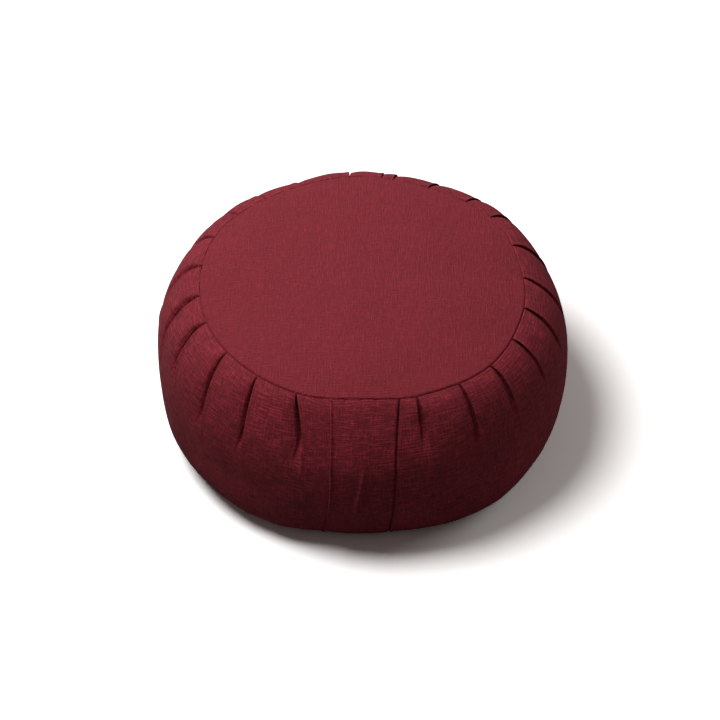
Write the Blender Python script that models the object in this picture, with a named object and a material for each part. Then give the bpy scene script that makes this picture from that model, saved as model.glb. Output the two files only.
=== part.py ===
"""Round zafu meditation cushion for Blender 4.5, in metres with +Z up.

Two round panels are sewn to one long side strip, which is knife-pleated into both seams.
The strip is closed at the front, on -Y, by a flat flap that runs from seam to seam.
The origin is on the floor, under the middle of the cushion.
Azimuths are in degrees, 0 at the front and growing towards +X.
"""
import bmesh
import bpy
import numpy as np

# Driving dimensions
EQUATOR_RADIUS = 0.175
EQUATOR_HEIGHT = 0.072
SEAM_RADIUS = 0.1375
TOP_SEAM_HEIGHT = 0.1465
BOTTOM_SEAM_HEIGHT = 0.003
CROWN = 0.0085
CROWN_POWER = 3.0

# Section of the side: one superellipse arc above the equator and one below it
SHOULDER_RADIUS = 0.125
SHOULDER_POWER = 2.2
FOOT_POWER = 2.9
ROWS_ABOVE = 10
ROWS_BELOW = 7
SEAM_LIP = 0.0008

# Cloth
PANEL_CLOTH = 0.002
FLAP_CLOTH = 0.0015
GAP = 0.0003
CONTACT_RADIUS = 0.128
PANEL_RING_RADII = (0.060, 0.110, CONTACT_RADIUS)
PANEL_SEGMENTS = 60

# Pleats: azimuth where the fold goes into the seam, how far its azimuth has drifted at the
# equator, and how far down the side the fold runs
PLEAT_COLUMNS = ("azimuth", "lean", "length")
PLEATS = (
    (18.5, -0.8, 0.050),
    (33.8, -0.6, 0.062),
    (47.3, 0.0, 0.066),
    (62.2, 0.0, 0.050),
    (78.3, -1.0, 0.056),
    (93.7, -1.5, 0.058),
    (111.0, -1.0, 0.060),
    (127.5, 0.0, 0.054),
    (139.5, 0.0, 0.050),
    (155.0, 0.0, 0.048),
    (168.6, 0.0, 0.046),
    (172.9, 0.0, 0.046),
    (184.4, 0.0, 0.048),
    (202.7, 0.0, 0.050),
    (217.5, 0.5, 0.052),
    (230.6, 1.0, 0.052),
    (245.2, 1.5, 0.058),
    (260.6, 1.5, 0.062),
    (276.2, 1.5, 0.064),
    (289.9, 2.0, 0.058),
    (306.5, 2.0, 0.072),
    (322.2, 1.5, 0.072),
    (337.7, 4.0, 0.064),
)
PLEAT_DEPTH = 0.0045
PLEAT_FULL_AT = 0.012
FOOT_PLEAT_SHARE = 0.45

# One puff, from its own fold to the next: share of the way, and height in pleat depths
PUFF_COLUMNS = ("share", "height")
PUFF = (
    (0.00, -1.00),
    (0.08, 0.35),
    (0.34, 0.55),
    (0.62, 0.40),
    (0.86, -0.15),
)

# Flap over the strip's opening: azimuth and lean of its two edges
FLAP_LEFT = -10.6
FLAP_LEFT_LEAN = 1.9
FLAP_RIGHT = 12.9
FLAP_RIGHT_LEAN = -3.6
FLAP_STEPS = 6
FLAP_SEAM_GAP = 0.0012
RECESS_SIDE = 0.14
RECESS_WALL = 0.20

CLOTH_COLOUR = (0.170, 0.024, 0.033, 1.0)
CLOTH_ROUGHNESS = 0.85


def clear_scene():
    for item in list(bpy.data.objects):
        bpy.data.objects.remove(item, do_unlink=True)


def cloth_material(name, shade):
    """Burgundy cotton, a little lighter or darker on each piece."""
    material = bpy.data.materials.new(name)
    material.use_nodes = True
    shader = material.node_tree.nodes["Principled BSDF"]
    colour = tuple(channel * shade for channel in CLOTH_COLOUR[:3]) + (1.0,)
    shader.inputs["Base Color"].default_value = colour
    shader.inputs["Roughness"].default_value = CLOTH_ROUGHNESS
    shader.inputs["Metallic"].default_value = 0.0
    material.diffuse_color = colour
    return material


def arc(turn, inner, height, power):
    """Superellipse quarter from the inner radius out to the equator.

    turn runs from 0 at the equator to 90 degrees above or below the inner radius.
    """
    out = np.abs(np.cos(turn)) ** (2.0 / power)
    up = np.abs(np.sin(turn)) ** (2.0 / power)
    return np.stack([inner + (EQUATOR_RADIUS - inner) * out, EQUATOR_HEIGHT + height * up], 1)


def side_section():
    """Radius and height of the side strip, from the bottom seam up to the top seam."""
    across = (SEAM_RADIUS - SHOULDER_RADIUS) / (EQUATOR_RADIUS - SHOULDER_RADIUS)
    seam_up = (1.0 - across ** SHOULDER_POWER) ** (1.0 / SHOULDER_POWER)
    top_turn = np.arccos(across ** (SHOULDER_POWER / 2.0))
    rise = (TOP_SEAM_HEIGHT - EQUATOR_HEIGHT) / seam_up
    drop = BOTTOM_SEAM_HEIGHT - EQUATOR_HEIGHT
    below = arc(np.linspace(np.pi / 2, 0.0, ROWS_BELOW + 1), SEAM_RADIUS, drop, FOOT_POWER)
    above = arc(np.linspace(0.0, top_turn, ROWS_ABOVE + 1), SHOULDER_RADIUS, rise, SHOULDER_POWER)
    section = np.concatenate([below, above[1:]])
    bottom_lip = section[0] + SEAM_LIP * unit(section[1] - section[0])
    top_lip = section[-1] + SEAM_LIP * unit(section[-2] - section[-1])
    return np.concatenate([section[:1], [bottom_lip], section[1:-1], [top_lip], section[-1:]])


def unit(vector):
    return vector / np.linalg.norm(vector)


def section_normals(section):
    """Outward directions across the section, at right angles to its run."""
    run = np.gradient(section, axis=0)
    run /= np.linalg.norm(run, axis=1, keepdims=True)
    return np.stack([run[:, 1], -run[:, 0]], 1)


def section_lengths(section):
    steps = np.linalg.norm(np.diff(section, axis=0), axis=1)
    return np.concatenate([[0.0], np.cumsum(steps)])


def smooth(share):
    share = np.clip(share, 0.0, 1.0)
    return share * share * (3.0 - 2.0 * share)


def pleat_run(distance, length):
    """How deep a fold is at a distance from its seam: it opens quickly and dies out slowly."""
    opening = smooth(distance / PLEAT_FULL_AT)
    dying = 1.0 - smooth((distance - PLEAT_FULL_AT) / (length - PLEAT_FULL_AT))
    return opening * dying


def column_table():
    """Columns round the side: azimuth, lean, height in pleat depths, pleat length, recess share."""
    pleats = [dict(zip(PLEAT_COLUMNS, row)) for row in PLEATS]
    wall = RECESS_SIDE + RECESS_WALL
    short = PLEATS[0][2]
    first = {"azimuth": FLAP_RIGHT + wall, "lean": FLAP_RIGHT_LEAN, "length": short}
    last = {"azimuth": 360.0 + FLAP_LEFT - wall, "lean": FLAP_LEFT_LEAN, "length": short}
    columns = []
    for start, end in zip([first] + pleats, pleats + [last]):
        for share, height in PUFF:
            azimuth = start["azimuth"] + share * (end["azimuth"] - start["azimuth"])
            lean = start["lean"] + share * (end["lean"] - start["lean"])
            flat = start is first and share == 0.0
            columns.append((azimuth, lean, 0.0 if flat else height, start["length"], 0.0))
    columns.append((last["azimuth"], last["lean"], 0.0, short, 0.0))
    for azimuth, lean in zip(flap_span(RECESS_SIDE), flap_leans()):
        columns.append((azimuth + 360.0, lean, 0.0, short, 1.0))
    return np.array(columns)


def flap_span(margin):
    return np.linspace(FLAP_LEFT - margin, FLAP_RIGHT + margin, FLAP_STEPS + 1)


def flap_leans():
    return np.linspace(FLAP_LEFT_LEAN, FLAP_RIGHT_LEAN, FLAP_STEPS + 1)


def leaned(azimuth, lean, radius):
    """Azimuth at a radius: a line along the side drifts by its lean from seam to equator."""
    return azimuth + lean * (radius - SEAM_RADIUS) / (EQUATOR_RADIUS - SEAM_RADIUS)


def place(azimuth, radius, height):
    """World points of rings: azimuths in degrees, one radius and height for each point."""
    turn = np.radians(azimuth)
    shape = np.broadcast_shapes(np.shape(turn), np.shape(radius), np.shape(height))
    points = np.empty(shape + (3,))
    points[..., 0] = radius * np.sin(turn)
    points[..., 1] = -radius * np.cos(turn)
    points[..., 2] = height
    return points


def skin(name, rings, bottom_middle, top_middle, material):
    """Closed turned body: rings from bottom to top, closed by a fan at each end."""
    mesh = bpy.data.meshes.new(name)
    body = bmesh.new()
    rows = [[body.verts.new(point) for point in ring] for ring in rings]
    low = body.verts.new(bottom_middle)
    high = body.verts.new(top_middle)
    count = len(rows[0])
    for index in range(count):
        after = (index + 1) % count
        body.faces.new((low, rows[0][after], rows[0][index]))
        body.faces.new((high, rows[-1][index], rows[-1][after]))
        for lower, upper in zip(rows, rows[1:]):
            body.faces.new((lower[index], lower[after], upper[after], upper[index]))
    return finish_piece(name, mesh, body, material)


def finish_piece(name, mesh, body, material):
    bmesh.ops.triangulate(body, faces=body.faces[:])
    bmesh.ops.recalc_face_normals(body, faces=body.faces[:])
    body.to_mesh(mesh)
    body.free()
    mesh.shade_smooth()
    mesh.set_sharp_from_angle(angle=np.radians(50.0))
    mesh.materials.append(material)
    piece = bpy.data.objects.new(name, mesh)
    bpy.context.scene.collection.objects.link(piece)
    return piece


def crown_height(radius):
    """Outer face of the top panel: flat in the middle, falling to the seam."""
    return TOP_SEAM_HEIGHT + CROWN * (1.0 - (radius / SEAM_RADIUS) ** CROWN_POWER)


def foot_height(radius):
    """Outer face of the bottom panel: flat on the floor, rising to the seam at its edge."""
    share = (radius - CONTACT_RADIUS) / (SEAM_RADIUS - CONTACT_RADIUS)
    return BOTTOM_SEAM_HEIGHT * max(0.0, share)


def make_pleated_side():
    """The filled body: the pleated strip, rebated for both panels and for the flap."""
    azimuth, lean, height, length, recess = column_table().T
    section = side_section()
    normals = section_normals(section)
    from_bottom = section_lengths(section)
    from_top = from_bottom[-1] - from_bottom
    inset = GAP + FLAP_CLOTH
    rings = []
    for radius in reversed((SEAM_RADIUS,) + PANEL_RING_RADII[::-1]):
        rings.append(place(azimuth, radius, foot_height(radius) + PANEL_CLOTH + GAP))
    for row, (radius, rise) in enumerate(section):
        run = pleat_run(from_top[row], length)
        run = run + pleat_run(from_bottom[row], length * FOOT_PLEAT_SHARE)
        edge_row = row in (0, len(section) - 1)
        out = PLEAT_DEPTH * height * run - recess * (0.0 if edge_row else inset)
        out_radius = radius + out * normals[row, 0]
        out_height = rise + out * normals[row, 1]
        rings.append(place(leaned(azimuth, lean, radius), out_radius, out_height))
    for radius in (SEAM_RADIUS,) + PANEL_RING_RADII[::-1]:
        rings.append(place(azimuth, radius, crown_height(radius) - PANEL_CLOTH - GAP))
    low = (0.0, 0.0, PANEL_CLOTH + GAP)
    high = (0.0, 0.0, crown_height(0.0) - PANEL_CLOTH - GAP)
    skin("pleated_side", rings, low, high, cloth_material("side_cotton", 1.0))


def make_panel(name, outer_height, cloth, shade):
    """Round panel of one cloth thickness; cloth is its inner side's offset in height."""
    azimuth = np.linspace(0.0, 360.0, PANEL_SEGMENTS, endpoint=False)
    radii = PANEL_RING_RADII + (SEAM_RADIUS - GAP,)
    outer = [place(azimuth, radius, outer_height(radius)) for radius in radii]
    inner = [place(azimuth, radius, outer_height(radius) + cloth) for radius in radii]
    outer_middle = (0.0, 0.0, outer_height(0.0))
    inner_middle = (0.0, 0.0, outer_height(0.0) + cloth)
    if cloth > 0.0:
        skin(name, outer + inner[::-1], outer_middle, inner_middle, cloth_material(name, shade))
    else:
        skin(name, inner + outer[::-1], inner_middle, outer_middle, cloth_material(name, shade))


def make_flap():
    """Flat strip over the opening: it follows the side's section from seam to seam."""
    section = side_section()
    normals = section_normals(section)
    lengths = section_lengths(section)
    stops = np.concatenate([[FLAP_SEAM_GAP], lengths[2:-2], [lengths[-1] - FLAP_SEAM_GAP]])
    centre = [np.interp(stops, lengths, section[:, axis]) for axis in (0, 1)]
    facing = [np.interp(stops, lengths, normals[:, axis]) for axis in (0, 1)]
    azimuth = leaned(flap_span(0.0)[None, :], flap_leans()[None, :], centre[0][:, None])
    mesh = bpy.data.meshes.new("closing_flap")
    body = bmesh.new()
    sides = []
    for depth in (0.0, -FLAP_CLOTH):
        radius = (centre[0] + depth * facing[0])[:, None]
        height = (centre[1] + depth * facing[1])[:, None]
        points = place(azimuth, radius, height)
        sides.append([[body.verts.new(point) for point in row] for row in points])
    outer, inner = sides
    for row in range(len(stops) - 1):
        for col in range(FLAP_STEPS):
            for layer in (outer, inner):
                low, high = layer[row], layer[row + 1]
                body.faces.new((low[col], low[col + 1], high[col + 1], high[col]))
        for col in (0, FLAP_STEPS):
            body.faces.new((outer[row][col], outer[row + 1][col], inner[row + 1][col], inner[row][col]))
    for col in range(FLAP_STEPS):
        for row in (0, len(stops) - 1):
            body.faces.new((outer[row][col], outer[row][col + 1], inner[row][col + 1], inner[row][col]))
    finish_piece("closing_flap", mesh, body, cloth_material("flap_cotton", 0.92))


def main():
    clear_scene()
    make_pleated_side()
    make_panel("top_panel", crown_height, -PANEL_CLOTH, 1.1)
    make_panel("bottom_panel", foot_height, PANEL_CLOTH, 0.8)
    make_flap()


main()
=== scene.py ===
import math

import bpy
import numpy as np
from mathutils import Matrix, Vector


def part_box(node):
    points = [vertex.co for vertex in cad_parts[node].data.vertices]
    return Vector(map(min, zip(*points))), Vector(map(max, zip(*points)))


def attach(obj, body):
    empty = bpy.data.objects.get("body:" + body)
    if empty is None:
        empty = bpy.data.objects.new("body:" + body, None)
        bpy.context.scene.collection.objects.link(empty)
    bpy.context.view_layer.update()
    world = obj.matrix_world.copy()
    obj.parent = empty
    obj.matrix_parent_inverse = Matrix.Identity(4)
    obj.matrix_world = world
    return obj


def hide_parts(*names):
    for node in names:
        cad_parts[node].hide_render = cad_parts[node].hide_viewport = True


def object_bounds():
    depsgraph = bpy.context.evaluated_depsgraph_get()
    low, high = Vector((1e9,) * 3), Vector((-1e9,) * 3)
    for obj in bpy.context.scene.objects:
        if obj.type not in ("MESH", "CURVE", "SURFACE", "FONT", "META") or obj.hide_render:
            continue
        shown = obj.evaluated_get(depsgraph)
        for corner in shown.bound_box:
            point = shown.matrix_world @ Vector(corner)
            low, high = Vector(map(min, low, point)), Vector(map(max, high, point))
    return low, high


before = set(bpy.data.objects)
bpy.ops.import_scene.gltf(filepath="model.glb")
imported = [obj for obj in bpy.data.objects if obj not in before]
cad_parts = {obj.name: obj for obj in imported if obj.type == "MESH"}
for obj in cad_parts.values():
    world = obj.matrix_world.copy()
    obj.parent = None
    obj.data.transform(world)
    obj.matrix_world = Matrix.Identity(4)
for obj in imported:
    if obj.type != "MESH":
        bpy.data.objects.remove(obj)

MM = 0.001

# ---------------------------------------------------------------- sizes, from the frame
CAD_LOW, CAD_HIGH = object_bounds()
PANEL_LOW, PANEL_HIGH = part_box("top_panel")
CLOTH = 0.7 * MM
PANEL_SHEET = 2.0 * MM
BELT_RADIUS = (CAD_HIGH[0] - CAD_LOW[0]) / 2
SEAM_RADIUS = PANEL_HIGH[0] + 0.3 * MM
TOP_SEAM = PANEL_LOW[2] + PANEL_SHEET
CROWN = PANEL_HIGH[2] - TOP_SEAM
CROWN_POWER = 3.0
FOOT_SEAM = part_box("bottom_panel")[1][2] - PANEL_SHEET
BELT_HEIGHT = 0.465 * CAD_HIGH[2]
SHOULDER_RADIUS = 0.714 * BELT_RADIUS
SHOULDER_POWER = 2.2
FOOT_POWER = 2.9
CONTACT_RADIUS = 0.93 * SEAM_RADIUS

# ---------------------------------------------------------------- pleats
# azimuth: where the fold goes into the seam. lean: drift of that azimuth at the belt.
# length: how far down the side it runs. depth: how deep it opens. overlap: cloth under the edge.
# mouth: how wide it gapes, as a share of its depth.
# The first is the fold at the flap's right edge. It runs straight from seam to seam, so only its
# azimuth and its overlap count.
PLEAT_COLUMNS = ("azimuth", "lean", "length_mm", "depth_mm", "overlap_mm", "mouth")
PLEATS = (
    (12.9, 0.0, 60, 3.0, 4.0, 0.19),
    (18.5, 0.8, 52, 5.8, 3.0, 0.12),
    (33.8, 0.4, 66, 6.4, 4.0, 0.15),
    (47.3, 1.2, 62, 5.8, 4.5, 0.15),
    (62.2, 0.3, 54, 4.8, 4.5, 0.19),
    (78.3, -1.0, 56, 6.0, 4.5, 0.19),
    (93.7, -2.0, 60, 5.6, 4.5, 0.14),
    (111.0, -1.0, 62, 5.0, 5.0, 0.12),
    (127.5, 0.0, 60, 4.4, 5.0, 0.12),
    (139.5, 0.0, 56, 4.0, 4.0, 0.12),
    (155.0, 0.0, 58, 3.8, 4.5, 0.12),
    (168.6, 0.0, 54, 3.4, 3.0, 0.12),
    (172.9, 0.0, 54, 3.2, 2.0, 0.12),
    (184.4, 0.0, 58, 3.6, 4.0, 0.12),
    (202.7, 1.0, 58, 5.0, 5.0, 0.16),
    (217.5, 2.0, 60, 6.6, 4.5, 0.30),
    (230.6, 3.4, 62, 8.6, 4.5, 0.40),
    (245.2, 4.6, 66, 10.0, 4.5, 0.50),
    (260.6, 4.8, 74, 11.6, 5.0, 0.50),
    (276.2, 4.8, 74, 11.6, 5.0, 0.48),
    (289.9, 3.4, 60, 11.4, 4.5, 0.36),
    (306.5, 4.2, 78, 12.0, 5.0, 0.22),
    (322.2, 3.4, 76, 11.0, 5.0, 0.20),
    (337.7, 5.8, 68, 10.0, 5.0, 0.15),
)
# The bottom seam has the same pleats, shorter and shallower
FOOT_LENGTH_SHARE = 0.45
FOOT_DEPTH_SHARE = 0.6
# Where a puff's cloth turns back under the next fold's edge, as a share of that cloth
TURN = 0.89
# Width at the belt of the cloth that lies under the next fold's edge in the seam
BELT_FOLD = 1.8 * MM
# A pleat's lean comes in over this length from each seam
LEAN_OVER = 60 * MM
EDGE_HEIGHT = 0.8 * MM
EDGE_WIDTH = 2.4 * MM
# The fold at the flap stays shut, and its edge stands this share of the height all the way
SHUT_EDGE_SHARE = 0.6
PUFF_HEIGHT = 0.9 * MM
PUFF_END = 0.84
CLOSING_PUFF_SHARE = 0.25
# A mouth's lips, the slope that leads to it, and as shares of its depth at the seam and how much
# more at the pleat's end: its width, its steep wall's width and the part that the slope takes
MOUTH_LIP = 0.5 * MM
MOUTH_SLOPE = 11 * MM
MOUTH_MORE = 0.34
WALL_WIDTH, WALL_MORE = 0.05, 0.26
SLOPE_PART, SLOPE_MORE = 0.12, 0.40

# ---------------------------------------------------------------- closing flap
# Azimuth of the flap's left edge at the top seam
FLAP_LEFT = -10.9
# Across the front: the flap's left edge, and its right one at the top and at the bottom
FLAP_X = (-26.0 * MM, 30.7 * MM, 22.5 * MM)
FLAP_FLARE = 9.0 * MM
FLAP_WIDTH = 55 * MM
FLAP_SHEET = 1.1 * MM
FLAP_CLEARANCE = 0.35 * MM
HEM_ROLL = 0.8 * MM
HEM_FADE = 45 * MM
CREASE_HEIGHT = 2.0 * MM
PUCKER_PLACES = (0.04, 0.22, 0.46, 0.66)
PUCKER_DEPTH = 0.9 * MM
PUCKER_LENGTH = 24 * MM
# The strip lies this much lower under the flap, and dips again where both go under the fold: so
# much at the bottom seam, and so much at the top one
FLAP_SEAT = 1.1 * MM
FOLD_DIP = (1.1 * MM, 3.2 * MM)

# ---------------------------------------------------------------- seams and unevenness
# Cloth rolls down into a seam: so much all round, and more on both sides of the front
SEAM_ROLL = 1.2 * MM
SEAM_DEEP, SEAM_DEEPER = 0.6 * MM, 1.7 * MM
SEAM_FRONT = 8.0
SEAM_SPREAD = 84.0

# The top seam isn't a true circle: the flap draws it in at the front, and the fill pushes it
# out beside that. Each row is an azimuth and the offset from the round there, in mm.
SEAM_WANDER = (
    (0, -3.6),
    (20, 0.6),
    (45, 4.0),
    (75, -0.2),
    (100, -2.4),
    (127, 2.0),
    (154, -2.0),
    (180, 0.5),
    (210, -1.6),
    (240, 1.4),
    (275, -1.8),
    (310, -1.0),
    (340, 0.3),
)
WANDER_FADE = 45 * MM

# The lower side's offset from the round, in mm: flat across the front, fuller beside that
LOWER_PUSH = (
    (-110, -0.6),
    (-85, -0.8),
    (-55, 1.4),
    (-40, 2.6),
    (-24, 0.8),
    (-12, -6.0),
    (10, -7.0),
    (25, 0.2),
    (42, 2.4),
    (58, 0.8),
    (85, -1.6),
    (110, -0.8),
)
# The shoulder's offset from the round, in mm: flatter behind at the left, and across the flap
SHOULDER_PUSH = (
    (-180, 0.2),
    (-150, -2.4),
    (-120, -2.0),
    (-95, -0.2),
    (-60, 0.0),
    (-30, -0.6),
    (-12, -3.0),
    (10, -3.0),
    (30, -0.6),
    (70, 0.0),
    (140, -0.2),
    (160, 1.2),
    (180, 0.2),
)
# Stretches of the side, as lengths from its own seam: start, rise, end, fall
LOWER_BAND = (4 * MM, 28 * MM, 45 * MM, 40 * MM)
SHOULDER_BAND = (3 * MM, 22 * MM, 32 * MM, 34 * MM)
TOP_PUFF_BAND = (0, 14 * MM, 22 * MM, 50 * MM)
FOOT_PUFF_BAND = (0, 8 * MM, 10 * MM, 22 * MM)
# Unevenness of the filled cloth: each part's height, wavelength and seed
SIDE_SWELLS = ((0.7 * MM, 0.11, 3), (0.25 * MM, 0.035, 4))
TOP_SWELLS = ((0.8 * MM, 0.13, 11), (0.2 * MM, 0.04, 12))


def smooth(share):
    """0 below 0, 1 above 1, and the cubic 3x^2 - 2x^3 between."""
    share = np.clip(share, 0.0, 1.0)
    return share * share * (3.0 - 2.0 * share)


def band(place, start, rise, end, fall):
    """0 before the start, 1 after the rise, and back to 0 over the fall that begins at the end."""
    return smooth((place - start) / rise) * (1 - smooth((place - end) / fall))


def hump(distance, width):
    """Bell curve: 1 where the distance is 0, and 1/e where it is the width."""
    return np.exp(-((distance / width) ** 2))


def pleat(column):
    """One named column of the pleat table as an array, lengths in metres."""
    values = np.array([row[PLEAT_COLUMNS.index(column)] for row in PLEATS], float)
    return values * MM if column.endswith("_mm") else values


def waves(points, wavelength, seed, count=24):
    """Smooth unevenness: a sum of plane waves with seeded directions, about -1 to 1."""
    random = np.random.default_rng(seed)
    total = np.zeros(points.shape[:-1])
    for _ in range(count):
        direction = random.normal(size=3)
        direction /= np.linalg.norm(direction) * wavelength * random.uniform(0.7, 1.5)
        total += np.sin(2 * np.pi * (points @ direction + random.uniform()))
    return total / math.sqrt(count)


def swells(points, parts):
    """The waves of all parts together, each part a height, a wavelength and a seed."""
    return sum(height * waves(points, wavelength, seed) for height, wavelength, seed in parts)


# ---------------------------------------------------------------- the plain turned shape
def arc(turn, inner, rise, power):
    """Superellipse quarter: out to the belt at turn 0, in to the inner radius at 90 degrees."""
    out = np.abs(np.cos(turn)) ** (2 / power)
    up = np.abs(np.sin(turn)) ** (2 / power)
    return np.stack([inner + (BELT_RADIUS - inner) * out, BELT_HEIGHT + rise * up], 1)


def side_section():
    """Radius and height along the side from the bottom seam to the top one, and arc length."""
    across = (SEAM_RADIUS - SHOULDER_RADIUS) / (BELT_RADIUS - SHOULDER_RADIUS)
    rise = (TOP_SEAM - BELT_HEIGHT) / (1 - across ** SHOULDER_POWER) ** (1 / SHOULDER_POWER)
    top_turn = math.acos(across ** (SHOULDER_POWER / 2))
    below = arc(np.linspace(np.pi / 2, 0, 400), SEAM_RADIUS, FOOT_SEAM - BELT_HEIGHT, FOOT_POWER)
    above = arc(np.linspace(0, top_turn, 400), SHOULDER_RADIUS, rise, SHOULDER_POWER)
    line = np.concatenate([below, above[1:]])
    length = np.concatenate([[0], np.cumsum(np.linalg.norm(np.diff(line, axis=0), axis=1))])
    return line, length


SECTION, SECTION_LENGTH = side_section()
SIDE_HEIGHT = SECTION_LENGTH[-1]


def on_side(up):
    """Radius, height and outward normal (radial, upward) at a length up from the bottom seam."""
    step = 0.5 * MM
    radius, height = (np.interp(up, SECTION_LENGTH, SECTION[:, axis]) for axis in (0, 1))
    run = [
        np.interp(up + step, SECTION_LENGTH, SECTION[:, axis])
        - np.interp(up - step, SECTION_LENGTH, SECTION[:, axis])
        for axis in (0, 1)
    ]
    size = np.hypot(*run)
    return radius, height, run[1] / size, -run[0] / size


def turned(azimuth, radius, height):
    """Points at azimuths in degrees, each with its radius and height."""
    angle = np.radians(azimuth)
    across, along = radius * np.sin(angle), -radius * np.cos(angle)
    return np.stack(np.broadcast_arrays(across, along, height), -1)


def seam_wander(azimuth):
    """How far the top seam stands out from the round, eased between the table's azimuths."""
    places, offsets = (np.array(values, float) for values in zip(*SEAM_WANDER))
    places = np.append(places, 360.0)
    offsets = np.append(offsets, offsets[0]) * MM
    turn = np.mod(azimuth, 360.0)
    before = np.clip(np.searchsorted(places, turn, side="right") - 1, 0, len(places) - 2)
    share = smooth((turn - places[before]) / (places[before + 1] - places[before]))
    return offsets[before] * (1 - share) + offsets[before + 1] * share


def side_push(azimuth, up):
    """How far the side stands out from the turned shape: the top seam's wander, fading down the
    shoulder, and the lower side's and the shoulder's own offsets."""
    turn = (azimuth + 180) % 360 - 180
    down = SIDE_HEIGHT - up
    wander = seam_wander(azimuth) * (1 - smooth(down / WANDER_FADE))
    lower = band(up, *LOWER_BAND) * np.interp(turn, *zip(*LOWER_PUSH))
    shoulder = band(down, *SHOULDER_BAND) * np.interp(turn, *zip(*SHOULDER_PUSH))
    return wander + (lower + shoulder) * MM


def side_points(azimuth, up, push=0.0, proud=0.0):
    """Points of the side in rows, one row for each length up it. They are pushed out level, and
    stand proud along the side's normal."""
    radius, height, facing_out, facing_up = (part[:, None] for part in on_side(up))
    return turned(azimuth, radius + push + proud * facing_out, height + proud * facing_up)


def side_unevenness(azimuth, up):
    """Slow and quick swells of the filled side, dying away towards both seams."""
    calm = smooth(np.minimum(up, SIDE_HEIGHT - up) / (15 * MM))[:, None]
    return calm * swells(side_points(azimuth, up), SIDE_SWELLS)


def seam_roll(distance, azimuth):
    """Cloth turning down into a seam over its last millimetre: deeper round the front."""
    away = np.mod(azimuth - SEAM_FRONT + 180, 360) - 180
    deep = SEAM_DEEP + SEAM_DEEPER * np.exp(-((away / SEAM_SPREAD) ** 4))
    return -deep * (1 - np.clip(distance / SEAM_ROLL, 0, 1)) ** 2


# ---------------------------------------------------------------- meshes
def ring_quads(rows, columns):
    """Quads between neighbouring rows of a grid whose rows close into rings, turned so that rows
    go up and columns right."""
    row, column = np.meshgrid(np.arange(rows - 1), np.arange(columns), indexing="ij")
    after = (column + 1) % columns
    low, high = row * columns, (row + 1) * columns
    corners = [low + column, low + after, high + after, high + column]
    return np.stack(corners, -1).reshape(-1, 4)


def fan(middle, start, count, back=False):
    """Triangles from a middle point to a ring of points, turned the other way if back."""
    index = np.arange(count)
    after = (index + 1) % count
    near, far = (after, index) if back else (index, after)
    return np.stack([np.full(count, middle), start + near, start + far], 1)


def make_mesh(name, points, faces, uv, material):
    """A mesh object from points, quads and fans of triangles, with thread coordinates in its UV."""
    mesh = bpy.data.meshes.new(name)
    mesh.from_pydata(points.tolist(), [], [list(face) for part in faces for face in part.tolist()])
    layer = mesh.uv_layers.new(name="threads")
    corners = np.empty(len(mesh.loops), np.int32)
    mesh.loops.foreach_get("vertex_index", corners)
    layer.data.foreach_set("uv", uv[corners].ravel().astype(np.float32))
    mesh.materials.append(material)
    mesh.shade_smooth()
    mesh.update()
    piece = bpy.data.objects.new(name, mesh)
    bpy.context.scene.collection.objects.link(piece)
    return piece


# ---------------------------------------------------------------- the side strip
# Places across one puff's cloth: 0 at its own fold's edge, 1 back at the next one's
PUFF_SHARES = np.concatenate([
    np.linspace(0.0, 0.11, 9, endpoint=False),
    np.linspace(0.11, 0.62, 11, endpoint=False),
    np.linspace(0.62, 0.72, 5, endpoint=False),
    np.linspace(0.72, 1.0, 27, endpoint=False),
])
# The same for the puff that the flap covers
CLOSING_SHARES = np.concatenate([
    np.linspace(0.0, 0.04, 8, endpoint=False),
    np.linspace(0.04, 0.84, 52, endpoint=False),
    np.linspace(0.84, 1.0, 26, endpoint=False),
])


def under_flap(over, up):
    """How deep the strip lies under the flap, at shares of the way across it and heights up the
    side: from the free edge at 0 to the fold's edge at 1."""
    dip = FOLD_DIP[0] + (FOLD_DIP[1] - FOLD_DIP[0]) * up / SIDE_HEIGHT
    return FLAP_SEAT * smooth((over - 0.005) / 0.05) + dip * smooth((over - 0.958) / 0.045)


def fold_path(share, start, end, overlap):
    """Azimuth along one puff: out from its own edge, under the next edge by the overlap, back."""
    out = start + (end + overlap - start) * share / TURN
    back = end + overlap * (1 - share) / (1 - TURN)
    return np.where(share <= TURN, out, back)


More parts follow.
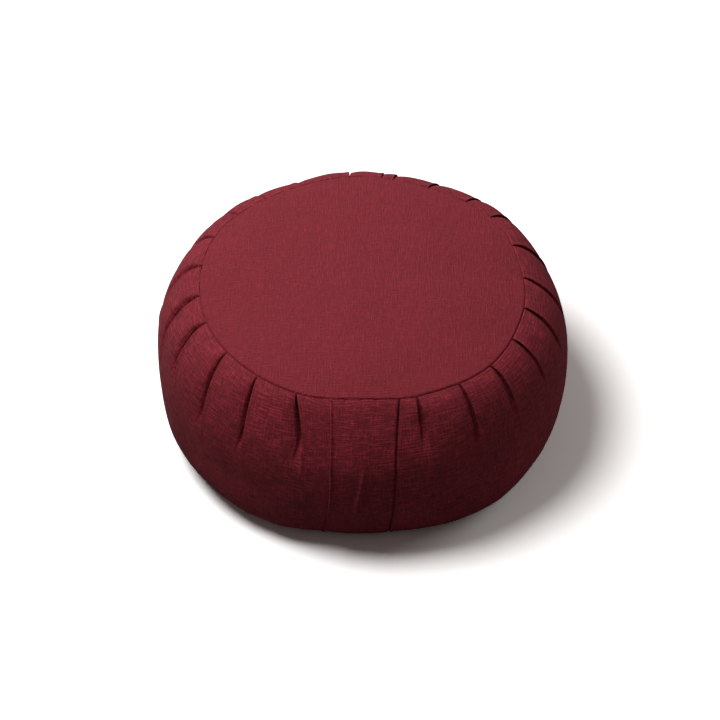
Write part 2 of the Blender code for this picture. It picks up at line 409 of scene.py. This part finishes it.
def strip_columns():
    """One entry for each column of the strip's grid, puff by puff round the cushion.

    seam and belt are its azimuths in the folded seam and at the smooth belt. past is its length
    along the cloth past the next fold's edge, and below 0 in front of it. over is its share of
    the way across the flap, and -1 in the other puffs. ridge and puff are 1 on a fold's edge and
    on a puff's crown. start and end are the pleats on both sides of its puff, and share is its
    place across the puff's cloth."""
    azimuth, overlap = pleat("azimuth"), pleat("overlap_mm")
    puffs = []
    for start in range(len(PLEATS)):
        end = (start + 1) % len(PLEATS)
        closing = end == 0
        lap = 360.0 if closing else 0.0
        share = CLOSING_SHARES if closing else PUFF_SHARES
        left, right = azimuth[start], azimuth[end] + lap
        under = math.degrees(overlap[end] / SEAM_RADIUS)
        spread = math.degrees(overlap[end] if closing else -BELT_FOLD) / BELT_RADIUS
        seam = fold_path(share, left, right, under)
        cloth = math.radians(right - left) * BELT_RADIUS
        span = math.radians(right - left) * SEAM_RADIUS
        across = (seam - lap - FLAP_LEFT) / (azimuth[0] - FLAP_LEFT)
        crown = np.sin(np.pi * np.clip(share / PUFF_END, 0, 1)) ** 0.8
        puffs.append({
            "seam": seam,
            "belt": fold_path(share, left, right, spread),
            "past": share / TURN * (span + overlap[end]) - span,
            "over": across if closing else np.full(len(share), -1.0),
            "ridge": hump(np.minimum(share, 1 - share) * cloth, EDGE_WIDTH),
            "puff": crown * (CLOSING_PUFF_SHARE if closing else 1),
            "start": np.full(len(share), start),
            "end": np.full(len(share), end),
            "share": share,
        })
    return {key: np.concatenate([puff[key] for puff in puffs]) for key in puffs[0]}


def fold_runs(from_seam, length, depth):
    """How far a fold has opened out, how deep it is, how high its edge stands and the share of
    its length that has run, at a distance from one seam. Each is rows x pleats."""
    distance = from_seam[:, None]
    share = distance / length
    opened = smooth((share - 0.5) / 0.5)
    layers = 2 * CLOTH
    deepen = np.clip(distance / (12 * MM), 0, 1) ** 0.7
    dying = 1 - smooth((share - 0.36) / 0.60)
    sunk = (layers + (depth - layers) * deepen) * dying
    edge = smooth(distance / (8 * MM)) * (1 - smooth((share - 0.75) / 0.4))
    return opened, sunk, edge, np.clip(share, 0, 1)


def valley(columns, sunk, run, up):
    """Depth of the strip below the turned shape, rows x columns. The cloth goes down into a mouth
    in front of the next fold's edge, lies deep under it, and comes back up to that edge."""
    deep, run = sunk[:, columns["end"]], run[:, columns["end"]]
    reach = MOUTH_LIP + (pleat("mouth")[columns["end"]] + MOUTH_MORE * run) * deep
    slope = smooth((columns["past"] + MOUTH_SLOPE) / MOUTH_SLOPE) ** 1.6
    drop = smooth((columns["past"] + reach) / (MOUTH_LIP + (WALL_WIDTH + WALL_MORE * run) * deep))
    gentle = SLOPE_PART + SLOPE_MORE * run
    down = deep * (gentle * slope + (1 - gentle) * drop)
    covered = columns["over"] > -0.5
    down = np.where(covered, under_flap(columns["over"], up[:, None]), down)
    fold = np.where(covered, under_flap(1.1, up[:, None]), deep)
    back = fold * smooth((1 - columns["share"]) / (1 - TURN)) ** 0.6
    return np.where(columns["share"] > TURN, back, down)


def strip_rows():
    """Lengths up from the bottom seam, closer together where the pleats are."""
    from_foot = [[0, 0.4, 0.8, 1.4], np.arange(2.2, 9, 1.2), np.arange(9.5, 36, 2.0)]
    from_top = [[0, 0.3, 0.6, 1.0, 1.5, 2.1], np.arange(2.8, 12, 0.9), np.arange(12.4, 70, 1.4)]
    from_foot, from_top = np.concatenate(from_foot), np.concatenate(from_top)
    middle = np.linspace(from_foot[-1] + 2.5, SIDE_HEIGHT / MM - from_top[-1] - 2.5, 22)
    return np.concatenate([from_foot, middle, SIDE_HEIGHT / MM - from_top[::-1]]) * MM


def leaning(up):
    """Share of a pleat's lean at a height: all of it but near the seams."""
    near = np.clip(np.minimum(up, SIDE_HEIGHT - up) / LEAN_OVER, 0, 1)
    return 1 - (1 - near) ** 2


def flap_sides(up):
    """Azimuths of the flap's left edge and of the fold it goes under: the flap is a straight
    strip of cloth that flares a little towards the bottom on its left, and is drawn in there on
    its right."""
    radius = on_side(up)[0]
    share = up / SIDE_HEIGHT
    left = FLAP_X[0] - FLAP_FLARE * (1 - smooth(share / 0.6))
    right = FLAP_X[1] * share + FLAP_X[2] * (1 - share)
    return np.degrees(np.arcsin(left / radius)), np.degrees(np.arcsin(right / radius))


def strip_folds(up, columns):
    """How far the strip's folds have opened, and how proud its folds, their edges and its puffs
    stand. Both are rows x columns."""
    length, depth = pleat("length_mm"), pleat("depth_mm")
    down = SIDE_HEIGHT - up
    top = fold_runs(down, length, depth)
    foot = fold_runs(up, length * FOOT_LENGTH_SHARE, depth * FOOT_DEPTH_SHARE)
    opened, sunk, edge = top[0] * foot[0], top[1] + foot[1], top[2] + foot[2] * FOOT_DEPTH_SHARE
    run = np.minimum(top[3], foot[3])
    opened[:, 0] = (on_side(up)[0] - SEAM_RADIUS) / (BELT_RADIUS - SEAM_RADIUS)
    edge[:, 0] = SHUT_EDGE_SHARE
    mix = smooth((columns["share"] - 0.3) / 0.3)
    start, end = columns["start"], columns["end"]
    opened = opened[:, start] * (1 - mix) + opened[:, end] * mix
    edge = edge[:, start] * (1 - mix) + edge[:, end] * mix
    bulge = band(down, *TOP_PUFF_BAND) + FOOT_DEPTH_SHARE * band(up, *FOOT_PUFF_BAND)
    proud = EDGE_HEIGHT * edge * columns["ridge"] - valley(columns, sunk, run, up)
    return opened, proud + PUFF_HEIGHT * bulge[:, None] * columns["puff"]


def make_side_strip(material):
    """The filled body: the strip's outer face on a grid of cloth coordinates, closed by hidden
    caps under the panels.

    A point's azimuth runs from its place in the folded seam to its place at the smooth belt,
    by how far its pleat has opened. It stands off the turned shape by its folds, the cloth's
    unevenness and the roll into each seam. One average with its two neighbours takes the hard
    corner off a fold."""
    columns = strip_columns()
    share = columns["share"]
    up = strip_rows()
    level = up[:, None]
    opened, proud = strip_folds(up, columns)
    azimuth = columns["seam"] * (1 - opened) + columns["belt"] * opened
    lean = pleat("lean") * leaning(up)[:, None]
    lean[:, 0] = flap_sides(up)[1] - pleat("azimuth")[0]
    azimuth = azimuth + lean[:, columns["start"]] * (1 - share) + lean[:, columns["end"]] * share
    proud = proud + side_unevenness(azimuth, up)
    proud = proud + seam_roll(level, azimuth) + seam_roll(SIDE_HEIGHT - level, azimuth)
    points = side_points(azimuth, up, side_push(azimuth, level), proud)
    points = (np.roll(points, 1, 1) + 2 * points + np.roll(points, -1, 1)) / 4

    tuck = 2.6 * MM
    halfway_in = (0.5, 0.5, 1)
    top_tuck, foot_tuck = points[-1].copy(), points[0].copy()
    top_tuck[:, 2] = TOP_SEAM - tuck
    foot_tuck[:, 2] = FOOT_SEAM + tuck
    foot_cap, top_cap = foot_tuck * halfway_in, top_tuck * halfway_in
    grid = np.concatenate([[foot_cap, foot_tuck], points, [top_tuck, top_cap]])
    rows, count = grid.shape[:2]
    flat = grid.reshape(-1, 3)
    middles = np.array([[0, 0, FOOT_SEAM + tuck], [0, 0, TOP_SEAM - tuck]])
    foot_fan = fan(len(flat), 0, count, back=True)
    top_fan = fan(len(flat) + 1, (rows - 1) * count, count)
    along = np.radians(columns["belt"]) * BELT_RADIUS
    level = np.concatenate([[0, 0], up, [SIDE_HEIGHT, SIDE_HEIGHT]])[:, None]
    uv = np.stack(np.broadcast_arrays(along[None, :], level), -1).reshape(-1, 2)
    uv = np.concatenate([uv, [[0, 0], [0, SIDE_HEIGHT]]])
    faces = (ring_quads(rows, count), foot_fan, top_fan)
    return make_mesh("side_strip", np.concatenate([flat, middles]), faces, uv, material)


# ---------------------------------------------------------------- round panels
PANEL_COLUMNS = 480
PANEL_FACES_APART = 1.6 * MM
# Rings near the rim, by their distance from it
RIM_MM = (24, 20, 16.5, 13.5, 11, 9, 7, 5.5, 4.2, 3.1, 2.2, 1.5, 1.0, 0.6, 0.3, 0.0)
RIM_PUCKER_REACH_MM = (10, 24)
RIM_PUCKER_DEPTH_MM = (0.25, 0.6)
RIM_PUCKER_WIDTH = 2.2


def make_panel(name, outer_height, side, material):
    """One thickness of cloth on a polar grid: its outer face, its rim and its inner face.

    The outer face's height is a function of azimuth and radius. side is 1 for the top panel and
    -1 for the bottom one. The top one follows its seam's wander, by the fifth power of the share
    of the radius."""
    azimuth = np.linspace(0, 360, PANEL_COLUMNS, endpoint=False)
    edge = SEAM_RADIUS - 0.25 * MM
    near = edge - np.array(RIM_MM) * MM
    radii = np.concatenate([np.linspace(0.004, near[0] - 5 * MM, 22), near])
    height = outer_height(azimuth, radii) + side * seam_roll(edge - radii[:, None], azimuth)
    wander = seam_wander(azimuth) * (radii[:, None] / edge) ** 5 if side > 0 else 0.0
    outer = turned(azimuth, radii[:, None] + wander, height)
    inner = outer[::-1].copy()
    inner[..., 2] -= side * PANEL_FACES_APART
    grid = np.concatenate([outer, inner])
    rows = len(grid)
    flat = grid.reshape(-1, 3)
    middles = [[0, 0, ring[:, 2].mean()] for ring in (outer[0], inner[-1])]
    outer_fan = fan(len(flat), 0, PANEL_COLUMNS)
    inner_fan = fan(len(flat) + 1, (rows - 1) * PANEL_COLUMNS, PANEL_COLUMNS, back=True)
    faces = (ring_quads(rows, PANEL_COLUMNS)[:, ::-1], outer_fan, inner_fan)
    if side < 0:
        faces = [part[:, ::-1] for part in faces]
    points = np.concatenate([flat, middles])
    return make_mesh(name, points, faces, points[:, 1::-1], material)


def top_height(azimuth, radii):
    """Crown, flat in the middle, with small radial puckers where the pleats pull on the seam."""
    crown = TOP_SEAM + CROWN * (1 - (radii / SEAM_RADIUS) ** CROWN_POWER)
    calm = smooth((SEAM_RADIUS - radii) / (30 * MM))[:, None]
    uneven = calm * swells(turned(azimuth, radii[:, None], 0.0), TOP_SWELLS)
    pucker = np.zeros((len(radii), len(azimuth)))
    random = np.random.default_rng(5)
    for centre in pleat("azimuth"):
        reach = random.uniform(*RIM_PUCKER_REACH_MM) * MM
        deep = random.uniform(*RIM_PUCKER_DEPTH_MM) * MM
        away = (azimuth - centre + 180 + random.uniform(-1, 1)) % 360 - 180
        fade = np.clip(1 - (SEAM_RADIUS - radii) / reach, 0, 1) ** 1.5
        pucker -= deep * fade[:, None] * hump(away, RIM_PUCKER_WIDTH)
    return crown[:, None] + uneven + pucker


def foot_height(azimuth, radii):
    """Flat on the floor, rising to the seam at its edge."""
    rise = FOOT_SEAM * np.clip((radii - CONTACT_RADIUS) / (SEAM_RADIUS - CONTACT_RADIUS), 0, 1)
    return np.repeat(rise[:, None], len(azimuth), 1)


# ---------------------------------------------------------------- closing flap
def flap_creases(over, up):
    """A soft slanting ridge low on the flap, and small puckers under its top seam."""
    rise = up / SIDE_HEIGHT
    run = band(rise, 0.16, 0.18, 0.52, 0.26)
    ridge = CREASE_HEIGHT * run * hump(over - 0.24 - 0.4 * rise, 0.032)
    fade = np.clip(1 - (SIDE_HEIGHT - up) / PUCKER_LENGTH, 0, 1)
    puckers = sum(hump(over - place, 0.028) for place in PUCKER_PLACES)
    return ridge - PUCKER_DEPTH * fade * puckers


def make_flap(material):
    """The strip's overlapping end: a sheet from its free edge at the left to under the fold's
    edge at the right, following the side from seam to seam. Its inner face keeps a small
    clearance over the strip beneath. Its outer face is one sheet further out, thinner at the
    free edge, with that edge's rolled hem just inside it."""
    up = np.concatenate([[0.5, 1.0, 1.6], np.arange(2.5, SIDE_HEIGHT / MM - 3, 2.0)]) * MM
    up = np.concatenate([up, SIDE_HEIGHT - np.array([2.4, 1.7, 1.1, 0.7, 0.4]) * MM])
    level = up[:, None]
    over = np.concatenate([
        np.linspace(0, 0.05, 6, endpoint=False),
        np.linspace(0.05, 0.85, 50, endpoint=False),
        np.linspace(0.85, 1.05, 14),
    ])
    left, right = (side[:, None] for side in flap_sides(up))
    azimuth = left + (right - left) * over
    roll = seam_roll(level, azimuth) + seam_roll(SIDE_HEIGHT - level, azimuth)
    inner = side_unevenness(azimuth, up) - under_flap(over, level) + roll + FLAP_CLEARANCE
    inner = inner + flap_creases(over, level)
    sheet = FLAP_SHEET * (0.3 + 0.7 * smooth(over / 0.02))
    hem = HEM_ROLL * hump(over - 0.022, 0.014) * smooth(level / HEM_FADE)
    push = side_push(azimuth, level)
    outer_face = side_points(azimuth, up, push, inner + sheet + hem)
    inner_face = side_points(azimuth, up, push, inner)
    ring = np.concatenate([outer_face, inner_face[:, ::-1]], 1)
    rows, count = ring.shape[:2]
    near = np.arange(count // 2 - 1)
    foot_end = np.stack([near, near + 1, count - 2 - near, count - 1 - near], 1)
    top_end = foot_end + (rows - 1) * count
    along = math.radians(FLAP_LEFT) * SEAM_RADIUS + FLAP_WIDTH * over
    along = np.concatenate([along, along[::-1]])
    uv = np.stack(np.broadcast_arrays(along[None, :], level), -1).reshape(-1, 2)
    faces = (ring_quads(rows, count), foot_end[:, ::-1], top_end)
    return make_mesh("flap", ring.reshape(-1, 3), faces, uv, material)


# ---------------------------------------------------------------- materials
def linear(code):
    """sRGB hex to linear red, green, blue."""
    values = np.array([int(code[i : i + 2], 16) for i in (0, 2, 4)]) / 255
    return np.where(values <= 0.04045, values / 12.92, ((values + 0.055) / 1.055) ** 2.4)


def add(tree, kind, settings=None, **sockets):
    """A node of a kind, with its settings. A socket goes by its name, or by its number after an
    underscore, and takes a value, another node's first output or a given output."""
    node = tree.nodes.new(kind)
    for key, value in (settings or {}).items():
        setattr(node, key, value)
    for key, value in sockets.items():
        place = int(key[1:]) if key[1:].isdigit() else key.replace("_", " ")
        if isinstance(value, bpy.types.Node):
            value = value.outputs[0]
        if isinstance(value, bpy.types.NodeSocket):
            tree.links.new(value, node.inputs[place])
        else:
            node.inputs[place].default_value = value
    return node


# Slub cotton: threads lie THREAD_MM apart. That is too fine to show from a few steps away, so the
# swollen threads that catch the light are drawn SLUB_MM apart, and run on for SLUB_LONG_MM. The
# light they catch is painted into the colour: a painted highlight along each slub.
THREAD_MM = 0.9
SLUB_MM = 1.25
SLUB_LONG_MM = 12.0
DRIFT_MM = 2.4
WEAVE_RELIEF = 0.45 * MM
BURGUNDY = "76202b"
# The flap's colour is the strip's a little darker: painted shade, as the flap is the same cloth as
# the strip
FLAP_SHADED_BURGUNDY = "741f2a"
SHEEN = "d98a94"


def slub_cotton(name, code, seed, dye_and_highlight_contrast):
    """Plain-woven slub cotton, dyed in the piece: matt, with threads that swell and thin both ways
    through it. The swollen threads are painted lighter, a painted highlight for the light they catch.
    The contrast given says how strong those painted highlights are, together with the weave and the
    random differences in tone."""
    material = bpy.data.materials.new(name)
    material.use_nodes = True
    tree = material.node_tree
    shader = tree.nodes["Principled BSDF"]
    maths, vectors, noise = "ShaderNodeMath", "ShaderNodeVectorMath", "ShaderNodeTexNoise"
    multiply_add, scaled = {"operation": "MULTIPLY_ADD"}, {"operation": "SCALE"}
    flat, eased = {"noise_dimensions": "2D"}, {"interpolation_type": "SMOOTHSTEP"}

    # Millimetres across the cloth, with threads that don't run quite straight
    uv = add(tree, "ShaderNodeUVMap", {"uv_map": "threads"})
    place = (7.3 * seed, 3.1 * seed, 0)
    cloth = add(tree, "ShaderNodeMapping", None, Vector=uv, Location=place, Scale=(1 / MM, 1 / MM, 1))
    drift = add(tree, noise, flat, Vector=cloth, Scale=0.02, Detail=2.0)
    wavy = add(tree, vectors, multiply_add, _0=drift.outputs[1], _1=(DRIFT_MM, DRIFT_MM, 0), _2=cloth)

    # Plain weave: one thread over the other, in a chequer
    turns = add(tree, vectors, scaled, _0=wavy, Scale=math.pi / THREAD_MM)
    split = add(tree, "ShaderNodeSeparateXYZ", None, _0=turns)
    sine_x = add(tree, maths, {"operation": "SINE"}, _0=split.outputs[0])
    sine_y = add(tree, maths, {"operation": "SINE"}, _0=split.outputs[1])
    checks = add(tree, maths, {"operation": "MULTIPLY"}, _0=sine_x, _1=sine_y)
    above = add(tree, maths, multiply_add, _0=checks, _1=0.5, _2=0.5)
    warp = add(tree, maths, {"operation": "ABSOLUTE"}, _0=sine_x)
    weft = add(tree, maths, {"operation": "ABSOLUTE"}, _0=sine_y)
    weave = add(tree, "ShaderNodeMix", {"data_type": "FLOAT"}, _0=above, _2=warp, _3=weft)

    # Slubs both ways, the fuzz between them, and slow differences in the dye. The slubs are painted
    # lighter in the colour as painted highlight, and are also raised in the bump.
    slub_relief_and_highlight = []
    for scale in ((1 / SLUB_MM, 1 / SLUB_LONG_MM, 1), (1 / SLUB_LONG_MM, 1 / SLUB_MM, 1)):
        drawn = add(tree, "ShaderNodeMapping", None, Vector=wavy, Scale=scale)
        run = add(tree, noise, flat, Vector=drawn, Scale=1.0, Detail=2.5, Roughness=0.65)
        slub_relief_and_highlight.append(add(tree, "ShaderNodeMapRange", eased, _0=run, _1=0.38, _2=0.74))
    grains = add(tree, noise, flat, Vector=wavy, Scale=0.55, Detail=3.0, Roughness=0.7)
    clouds = add(tree, noise, flat, Vector=uv, Scale=18.0, Detail=3.0)

    # Each pattern with its mean and its share of the contrast, so that the tone's own mean is 1. The
    # slubs' shares are painted highlight; the others are the cloth's own tone.
    patterns = (
        (slub_relief_and_highlight[0], 0.3, 0.42),
        (slub_relief_and_highlight[1], 0.3, 0.62),
        (weave, 0.6, 0.3),
        (grains, 0.5, 0.9),
        (clouds, 0.5, 0.3),
    )
    tone = 1.0 - dye_and_highlight_contrast * sum(mean * share for _, mean, share in patterns)
    for pattern, _, share in patterns:
        tone = add(tree, maths, multiply_add, _0=pattern, _1=dye_and_highlight_contrast * share, _2=tone)
    # The cloth's dye times the tone, which carries the painted highlights on the slubs
    dye_and_painted_highlights = add(tree, vectors, scaled, _0=tuple(linear(code)), Scale=tone)
    tree.links.new(dye_and_painted_highlights.outputs[0], shader.inputs["Base Color"])

    height = add(tree, maths, {"operation": "ADD"}, _0=slub_relief_and_highlight[0], _1=slub_relief_and_highlight[1])
    height = add(tree, maths, multiply_add, _0=weave, _1=0.5, _2=height)
    height = add(tree, maths, multiply_add, _0=grains, _1=0.8, _2=height)
    bump = add(tree, "ShaderNodeBump", None, Strength=1.0, Distance=WEAVE_RELIEF, Height=height)
    tree.links.new(bump.outputs[0], shader.inputs["Normal"])
    rough = add(tree, "ShaderNodeMapRange", None, _0=weave, _3=0.95, _4=0.84)
    tree.links.new(rough.outputs[0], shader.inputs["Roughness"])
    shader.inputs["IOR"].default_value = 1.45
    shader.inputs["Specular IOR Level"].default_value = 0.22
    shader.inputs["Sheen Weight"].default_value = 0.01
    shader.inputs["Sheen Roughness"].default_value = 0.5
    shader.inputs["Sheen Tint"].default_value = (*linear(SHEEN), 1)
    return material


# ---------------------------------------------------------------- stage
FLOOR_HALF = 6.0
FLOOR_SEEN = (1.55, 1.55, 1.55, 1)
FLOOR_BOUNCED = (0.25, 0.25, 0.25, 1)
LENS_MM = 128.5
CAMERA_TILT = 44.56
CAMERA_BACK = 2.2
CAMERA_RAISED = 0.07
CAMERA_TARGET = (-0.0018, -0.0064, 0.0635)
SURROUND = (1.0, 0.88, 0.83, 1)
SURROUND_STRENGTH = 0.09


def make_floor():
    """Plain pale sweep under the cushion, brighter to the camera than to the light that bounces
    off it."""
    size = FLOOR_HALF
    points = np.array([[-size, -size, 0], [size, -size, 0], [size, size, 0], [-size, size, 0]])
    material = bpy.data.materials.new("floor_paint")
    material.use_nodes = True
    tree = material.node_tree
    tree.nodes.clear()
    seen = add(tree, "ShaderNodeBsdfDiffuse", None, Color=FLOOR_SEEN)
    bounced = add(tree, "ShaderNodeBsdfDiffuse", None, Color=FLOOR_BOUNCED)
    straight = add(tree, "ShaderNodeLightPath").outputs["Is Camera Ray"]
    mix = add(tree, "ShaderNodeMixShader", None, _0=straight, _1=bounced, _2=seen)
    add(tree, "ShaderNodeOutputMaterial", None, Surface=mix)
    floor = make_mesh("floor", points, (np.array([[0, 1, 2, 3]]),), points[:, :2], material)


def make_softbox(name, place, target, size, power, colour):
    """A round softbox at a place, turned towards a target."""
    light = bpy.data.lights.new(name, "AREA")
    light.shape = "DISK"
    light.size = size
    light.energy = power
    light.color = colour
    holder = bpy.data.objects.new(name, light)
    holder.location = place
    holder.rotation_euler = (Vector(target) - Vector(place)).to_track_quat("-Z", "Y").to_euler()
    bpy.context.scene.collection.objects.link(holder)
    return holder


def make_camera():
    """Long lens, looking down at the front by about 45 degrees."""
    data = bpy.data.cameras.new("camera")
    data.sensor_width = 36.0
    data.lens = LENS_MM
    camera = bpy.data.objects.new("camera", data)
    tilt = math.radians(CAMERA_TILT)
    height = CAMERA_RAISED + CAMERA_BACK * math.sin(tilt)
    camera.location = (0, -CAMERA_BACK * math.cos(tilt), height)
    towards = Vector(CAMERA_TARGET) - camera.location
    camera.rotation_euler = towards.to_track_quat("-Z", "Y").to_euler()
    bpy.context.scene.collection.objects.link(camera)
    bpy.context.scene.camera = camera


def light_stage(pieces):
    """Floor, softboxes and a dim warm surround. The softboxes in front and behind fall on the
    cushion alone."""
    cushion = bpy.data.collections.new("cushion")
    for piece in pieces:
        cushion.objects.link(piece)
    make_floor()
    low, middle = (0, 0, 0.05), (0, 0, 0.1)
    make_softbox("key", (-0.58, 0.0, 1.45), low, 0.78, 22, (1.0, 0.99, 0.98))
    make_softbox("right", (1.75, 0.75, 0.85), low, 1.2, 9.0, (1.0, 0.97, 0.95))
    front = make_softbox("front", (0.5, -1.9, 1.1), low, 1.2, 2.4, (1.0, 0.98, 0.96))
    behind = make_softbox("behind", (-0.6, 1.05, 0.75), middle, 0.6, 13, (1.0, 0.99, 0.98))
    for light in (front, behind):
        light.light_linking.receiver_collection = cushion
    world = bpy.data.worlds.new("studio")
    world.use_nodes = True
    world.node_tree.nodes["Background"].inputs["Color"].default_value = SURROUND
    world.node_tree.nodes["Background"].inputs["Strength"].default_value = SURROUND_STRENGTH
    bpy.context.scene.world = world
    view = bpy.context.scene.view_settings
    view.view_transform = "Standard"
    view.look = "None"


def main():
    make_camera()
    # The side strip and flap get nearly three times the panels' contrast: stronger painted highlight
    # on their threads, for the light that grazes the side
    side = make_side_strip(slub_cotton("side_cotton_weave", BURGUNDY, 1, 1.15))
    top = make_panel("top_round", top_height, 1, slub_cotton("top_cotton_weave", BURGUNDY, 2, 0.42))
    foot_cotton = slub_cotton("bottom_cotton_weave", BURGUNDY, 3, 0.36)
    foot = make_panel("bottom_round", foot_height, -1, foot_cotton)
    flap = make_flap(slub_cotton("flap_cotton_weave", FLAP_SHADED_BURGUNDY, 4, 1.1))
    rows = (
        (side, "pleated_side", "side_cotton"),
        (top, "top_panel", "panel_cotton"),
        (foot, "bottom_panel", "panel_cotton"),
        (flap, "closing_flap", "flap_cotton"),
    )
    for piece, node, slot in rows:
        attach(piece, "root")
        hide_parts(node)
    # Cut flat, a panel is half a percent wider than its seam: the crown takes that up
    light_stage((side, top, foot, flap))


main()
